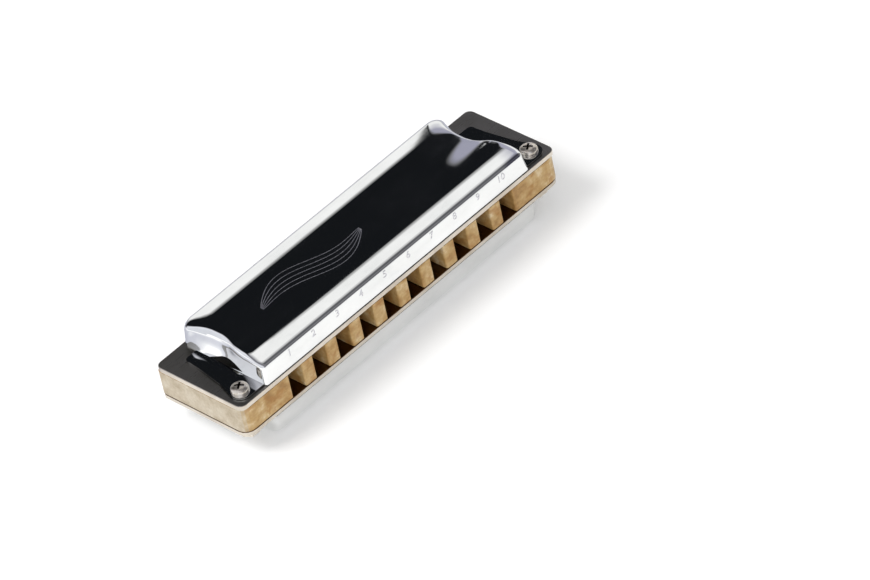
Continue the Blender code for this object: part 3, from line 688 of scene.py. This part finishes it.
def nickel_screw():
    """Nickelled steel: warm bright grey, with faint handling wear 0.5 mm across."""
    material, tree, shader = new_material("nickel_screw", "#C8BEAE", 1.0, 0.14)
    place = node(tree, "ShaderNodeTexCoord").outputs["Object"]
    wear = node(tree, "ShaderNodeTexNoise", {"Scale": 1000 / 0.5, "Detail": 3.0}, Vector=place)
    rough = node(tree, "ShaderNodeMapRange", {3: 0.28, 4: 0.38}, _0=wear.outputs[0])
    tree.links.new(rough.outputs[0], shader.inputs["Roughness"])
    colour = node(tree, "ShaderNodeValToRGB", {"stops": [(0.35, "#CFC4B4"), (0.65, "#F0EADF")]},
                  _0=wear.outputs[0])
    tree.links.new(colour.outputs[0], shader.inputs["Base Color"])
    relief = node(tree, "ShaderNodeBump", {"Distance": 0.00001}, Height=wear.outputs[0])
    tree.links.new(relief.outputs[0], shader.inputs["Normal"])
    return material


def punched_nickel():
    """The walls of the cross recess: dull nickel, painted dark as painted shade in the recess."""
    material, tree, shader = new_material("punched_nickel", "#4A423A", 1.0, 0.4)
    place = node(tree, "ShaderNodeTexCoord").outputs["Object"]
    grain = node(tree, "ShaderNodeTexNoise", {"Scale": 1000 / 0.2, "Detail": 2.0}, Vector=place)
    colour = node(tree, "ShaderNodeValToRGB", {"stops": [(0.35, "#2E2822"), (0.65, "#5E544A")]},
                  _0=grain.outputs[0])
    tree.links.new(colour.outputs[0], shader.inputs["Base Color"])
    return material


nickel = nickel_screw()
recess_shade = punched_nickel()
dress(["cover_nut_left", "cover_nut_right"], nickel)


def pan_screw(name, node_name, seat, head_radius, head_height, shank_radius):
    """Turn a screw from one disc: shank, seat and domed head, then punch the cross."""
    low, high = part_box(node_name)
    x = (low.x + high.x) / 2
    y = (low.y + high.y) / 2
    chamfer, under = 0.0002, seat - 0.0001
    profile = [(shank_radius * 0.8, low.z), (shank_radius, low.z + chamfer),
               (shank_radius, under), (head_radius * 0.97, under),
               (head_radius, seat + head_height * 0.06)]
    crown = [  # shares of the head's radius and of its height
        (1.0, 0.20), (0.985, 0.36), (0.94, 0.52), (0.87, 0.66), (0.77, 0.78),
        (0.64, 0.875), (0.49, 0.94), (0.33, 0.975), (0.15, 0.995), (0.0, 1.0)]
    profile += [(head_radius * share, seat + head_height * rise) for share, rise in crown]
    bpy.ops.mesh.primitive_circle_add(vertices=48, radius=profile[0][0], fill_type="NGON",
                                      location=(x, y, profile[0][1]))
    made = bpy.context.object
    made.name = name
    bpy.ops.object.transform_apply(location=True, rotation=True, scale=True)
    bpy.ops.object.mode_set(mode="EDIT")
    bpy.ops.mesh.select_all(action="SELECT")
    narrowest = 0.02
    for (r0, z0), (r1, z1) in zip(profile[:-1], profile[1:]):
        bpy.ops.mesh.extrude_region_move(TRANSFORM_OT_translate={"value": (0.0, 0.0, z1 - z0)})
        share = max(r1 / r0, narrowest)
        bpy.ops.transform.resize(value=(share, share, 1.0), center_override=(x, y, z1))
    bpy.ops.mesh.select_all(action="SELECT")
    bpy.ops.mesh.normals_make_consistent(inside=False)
    bpy.ops.object.mode_set(mode="OBJECT")
    made.data.materials.append(nickel)
    made.data.materials.append(recess_shade)
    first_turn = 0.6
    blade_length, blade_width = head_radius * 1.1, head_radius * 0.24
    blade_height = head_height * 1.1
    for turn in (first_turn, first_turn + math.pi / 2):
        bpy.ops.mesh.primitive_cube_add(size=1.0, location=(x, y, seat + head_height))
        blade = bpy.context.object
        blade.scale = (blade_length, blade_width, blade_height)
        blade.rotation_euler = (0.0, 0.0, turn)
        bpy.ops.object.transform_apply(location=False, rotation=True, scale=True)
        blade.data.materials.append(nickel)
        blade.data.materials.append(recess_shade)
        # The cross's cut walls take the painted shade of the recess.
        for polygon in blade.data.polygons:
            polygon.material_index = 1
        cut(made, blade)
    smooth(made, 32)
    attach(made, BODY)
    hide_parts(node_name)


for label in ("left", "right"):
    pan_screw(f"clamp_screw_{label}", f"cover_screw_{label}", seat=PLATE_TOP + FLANGE_TOP,
              head_radius=0.0021, head_height=0.0014, shank_radius=0.0011)
for number in range(1, 6):
    pan_screw(f"small_screw_{number}", f"plate_screw_{number}", seat=PLATE_TOP,
              head_radius=0.0015, head_height=0.0009, shank_radius=0.00085)


# Engraving
# Five fine lines on the polished top, like a stave that waves once and draws together at
# both ends. Real ones are cut in; here they are rods, sunk until 0.04 mm stands proud.

def engraved_steel():
    """Steel scored by a graver: no polish is left, so the lines, which stand a little proud
    here, show as fine grey strokes on the dark mirror."""
    material, tree, shader = new_material("engraved_steel", "#8C8C92", 1.0, 0.32)
    place = node(tree, "ShaderNodeTexCoord").outputs["Object"]
    score = node(tree, "ShaderNodeTexNoise", {"Scale": 1000 / 0.3, "Detail": 2.0}, Vector=place)
    colour = node(tree, "ShaderNodeValToRGB", {"stops": [(0.35, "#77777C"), (0.65, "#A2A2A8")]},
                  _0=score.outputs[0])
    tree.links.new(colour.outputs[0], shader.inputs["Base Color"])
    return material


graved = engraved_steel()
stroke_half, stroke_top = 0.00018, PLATE_TOP + 0.0061
line_start, line_length, steps = -0.0285, 0.0310, 72
gap, pinch, wave = 0.0016, 0.12, 0.0022
for line in range(5):
    bpy.ops.curve.primitive_bezier_curve_add()
    stroke = bpy.context.object
    stroke.name = f"engraved_line_{line + 1}"
    stroke.data.dimensions = "3D"
    stroke.data.bevel_depth = stroke_half
    stroke.data.bevel_resolution = 2
    stroke.data.use_fill_caps = True
    stroke.data.splines.clear()
    spline = stroke.data.splines.new("POLY")
    spline.points.add(steps)
    for index, point in enumerate(spline.points):
        share = index / steps
        spread = gap * (pinch + (1 - pinch) * math.sin(math.pi * share) ** 0.8)
        y = (line - 2) * spread + wave * math.sin(2 * math.pi * share)
        point.co = (line_start + line_length * share, y, stroke_top - stroke_half, 1.0)
    bpy.ops.object.convert(target="MESH")
    bpy.ops.object.transform_apply(location=True, rotation=True, scale=True)
    bpy.ops.object.mode_set(mode="EDIT")
    bpy.ops.mesh.select_all(action="SELECT")
    bpy.ops.mesh.remove_doubles(threshold=0.000001)
    bpy.ops.mesh.normals_make_consistent(inside=False)
    bpy.ops.object.mode_set(mode="OBJECT")
    stroke.data.materials.append(graved)
    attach(stroke, BODY)


# Hole numbers
# The numbers 1 to 10 on the polished front wall, above their holes. Real ones are etched
# grey into the steel; here they are thin letters, sunk by half and leaning with the wall.

def etched_grey():
    """Acid-etched steel: the polish is gone, so it looks an even pale grey in the mirror."""
    material, tree, shader = new_material("etched_grey", "#C4C4C8", 1.0, 0.40)
    place = node(tree, "ShaderNodeTexCoord").outputs["Object"]
    grain = node(tree, "ShaderNodeTexNoise", {"Scale": 1000 / 0.2, "Detail": 2.0}, Vector=place)
    colour = node(tree, "ShaderNodeValToRGB", {"stops": [(0.35, "#CACACE"), (0.65, "#DEDEE2")]},
                  _0=grain.outputs[0])
    tree.links.new(colour.outputs[0], shader.inputs["Base Color"])
    return material


etched = etched_grey()
hole_pitch, middle = 0.0075, 5.5
wall_y, baseline, lean = -0.01272, PLATE_TOP + 0.0025, 0.7
for number in range(1, 11):
    bpy.ops.object.text_add(location=((number - middle) * hole_pitch, wall_y, baseline),
                            rotation=(math.radians(90 - lean), 0.0, 0.0))
    text = bpy.context.object
    text.name = f"hole_number_{number}"
    text.data.body = str(number)
    text.data.size = 0.0025
    text.data.align_x = "CENTER"
    text.data.extrude = 0.00006
    bpy.ops.object.convert(target="MESH")
    bpy.ops.object.transform_apply(location=True, rotation=True, scale=True)
    text.data.materials.append(etched)
    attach(text, BODY)
